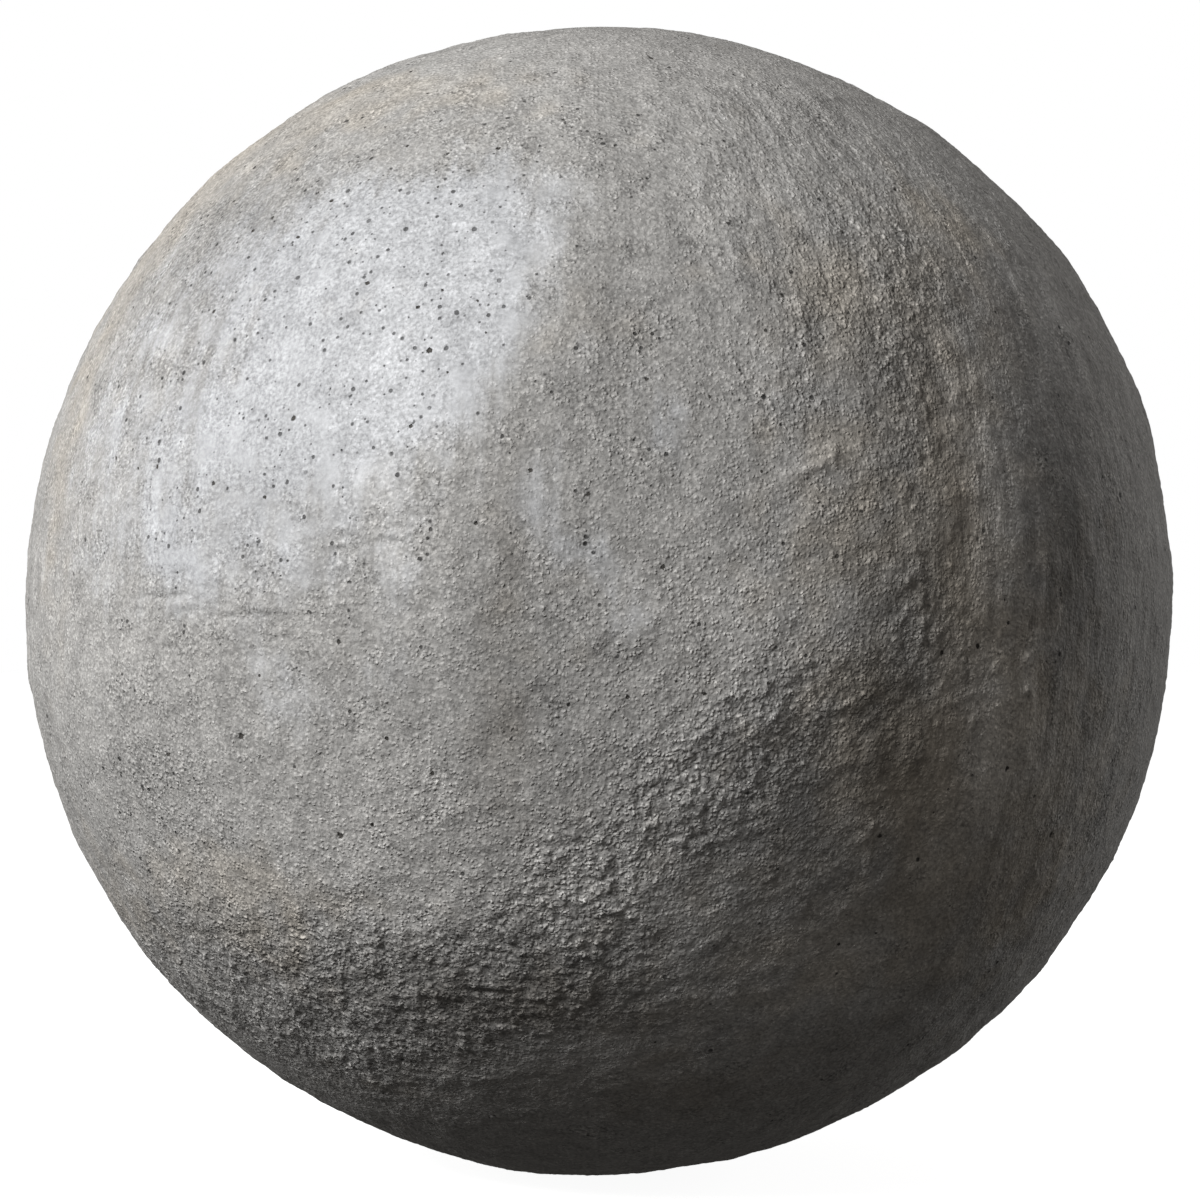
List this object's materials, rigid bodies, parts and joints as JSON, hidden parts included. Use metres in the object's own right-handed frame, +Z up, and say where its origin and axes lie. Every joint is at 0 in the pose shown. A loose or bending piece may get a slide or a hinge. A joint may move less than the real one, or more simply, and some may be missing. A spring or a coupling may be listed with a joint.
{
  "type": "concrete ball barrier",
  "caption": "Precast concrete ball barrier for keeping vehicles out: a round solid ball on a small flat seat, with a plugged lifting recess on top and a dowel socket below.",
  "frame": {"origin": "centre of the flat seat under the ball", "axes": "+Z up through the dowel socket and the lifting recess, X and Y level"},
  "size_m": [0.61, 0.61, 0.6085],
  "materials": {
    "concrete": "rough as-cast concrete with air holes, sandy patches and pale skin",
    "plug_mortar": "rough as-cast mortar to match the ball",
    "bar_steel": "hot-rolled bar with mill scale and light rust",
    "tie_wire": "black annealed wire",
    "spacer_plastic": "moulded grey plastic",
    "galvanised_steel": "hot-dip galvanised",
    "cap_plastic": "moulded black plastic",
    "plated_steel": "zinc plated and passivated",
    "cup_plastic": "moulded dark grey plastic"
  },
  "bodies": {
    "ball": {"concrete_ball": "concrete", "cage_rib_1": "bar_steel", "cage_rib_2": "bar_steel", "cage_rib_3": "bar_steel", "cage_rib_4": "bar_steel", "cage_rib_5": "bar_steel", "cage_rib_6": "bar_steel", "top_ring": "bar_steel", "upper_hoop": "bar_steel", "equator_hoop": "bar_steel", "lower_hoop": "bar_steel", "bottom_ring": "bar_steel", "lift_bar": "bar_steel", "sleeve_cradle": "bar_steel", "tie_wires": "tie_wire", "wheel_spacers": "spacer_plastic", "dowel_sleeve": "galvanised_steel", "sleeve_cap": "cap_plastic", "lifting_ferrule": "plated_steel", "ferrule_loop": "plated_steel", "recess_cup": "cup_plastic"},
    "plug": {"recess_plug": "plug_mortar"}
  },
  "joints": [
    {"name": "plug_lift", "type": "slide", "parent": "ball", "child": "plug", "axis": [0, 0, 1], "range_m": [0, 0.1]}
  ]
}
